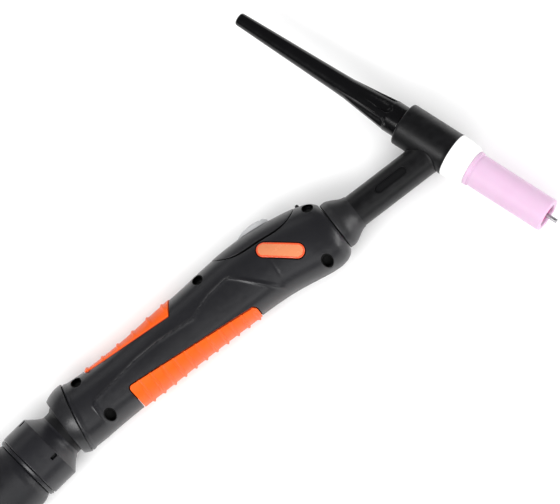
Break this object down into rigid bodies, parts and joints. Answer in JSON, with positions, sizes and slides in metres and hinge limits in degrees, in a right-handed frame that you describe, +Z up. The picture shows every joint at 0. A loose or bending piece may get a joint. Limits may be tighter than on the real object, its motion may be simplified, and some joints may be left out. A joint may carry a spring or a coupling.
{
  "type": "tig welding torch",
  "caption": "TIG welding torch with a two-shell ribbed handle, push button, angled head, ceramic nozzle, long back cap and a ball-jointed cable outlet.",
  "frame": {"origin": "on the bench, under the middle of the torch's bounding box, with the torch lying on its left side", "axes": "+X forward along the handle to the head, +Y to the torch's top, where the button is, +Z up from the bench to the torch's right-hand side"},
  "size_m": [0.3401, 0.1932, 0.039],
  "materials": {
    "shell_plastic": "dark charcoal satin moulded plastic",
    "grip_rubber": "orange soft-touch elastomer",
    "badge_plastic": "glossy orange plastic",
    "black_plastic": "black satin plastic",
    "button_plastic": "light grey satin plastic",
    "mould_rubber": "matte black moulded rubber",
    "cap_plastic": "gloss black phenolic",
    "insulator_ptfe": "white PTFE, satin",
    "pink_ceramic": "pale pink alumina, unglazed",
    "tungsten": "ground tungsten",
    "brass": "machined",
    "copper": "machined copper",
    "steel": "blackened steel screws and bright spring wire",
    "switch_plastic": "moulded switch case",
    "plunger_plastic": "red plunger",
    "o_ring": "black nitrile"
  },
  "bodies": {
    "handle": {"right_shell": "shell_plastic", "left_shell": "shell_plastic", "upper_grip": "grip_rubber", "lower_grip": "grip_rubber", "badge": "badge_plastic", "shell_screws": "steel", "front_adapter": "black_plastic", "torch_body_mould": "mould_rubber", "head_core": "brass", "neck_tube": "copper", "tail_fitting": "brass", "insulator": "insulator_ptfe", "collet_body": "copper", "collet": "copper", "ceramic_nozzle": "pink_ceramic", "trigger_housing": "black_plastic", "trigger_spring": "steel", "microswitch_body": "switch_plastic", "switch_terminals": "brass", "module_latch": "black_plastic", "socket_band": "shell_plastic"},
    "trigger": {"trigger_button": "button_plastic", "microswitch_plunger": "plunger_plastic"},
    "electrode": {"electrode": "tungsten"},
    "cap_seal": {"cap_o_ring": "o_ring"},
    "back_cap": {"back_cap": "cap_plastic"},
    "socket_seat": {"seat_ring": "black_plastic"},
    "cable_outlet": {"knuckle_ball": "black_plastic", "collar_cone": "shell_plastic", "sleeve_ring": "black_plastic", "rear_sleeve": "mould_rubber"}
  },
  "joints": [
    {"name": "trigger_press", "type": "slide", "parent": "handle", "child": "trigger", "axis": [0, -1, 0], "range_m": [0, 0.0016], "stiffness_N_per_m": 1200, "springref_m": -0.001, "deforming": ["trigger_spring"]},
    {"name": "electrode_slide", "type": "slide", "parent": "handle", "child": "electrode", "axis": [0.3256, -0.9455, 0], "range_m": [-0.005, 0.01]},
    {"name": "back_cap_travel", "type": "slide", "parent": "handle", "child": "cap_seal", "axis": [-0.3256, 0.9455, 0], "range_m": [0, 0.00751]},
    {"name": "back_cap_turn", "type": "hinge", "parent": "cap_seal", "child": "back_cap", "pos_m": [0.12008, 0.03074, 0.0196], "axis": [-0.3256, 0.9455, 0], "range_deg": [0, 2160]},
    {"name": "cable_swivel", "type": "hinge", "parent": "handle", "child": "socket_seat", "pos_m": [-0.09758, -0.0235, 0.0196], "axis": [-1, 0, 0], "continuous": true},
    {"name": "cable_tilt", "type": "hinge", "parent": "socket_seat", "child": "cable_outlet", "pos_m": [-0.09758, -0.0235, 0.0196], "axis": [0, 0, 1], "range_deg": [-21.5, 6.5]}
  ],
  "couplings": [
    {"joint": "back_cap_travel", "follows": "back_cap_turn", "m_per_rad": 0.00019894}
  ]
}
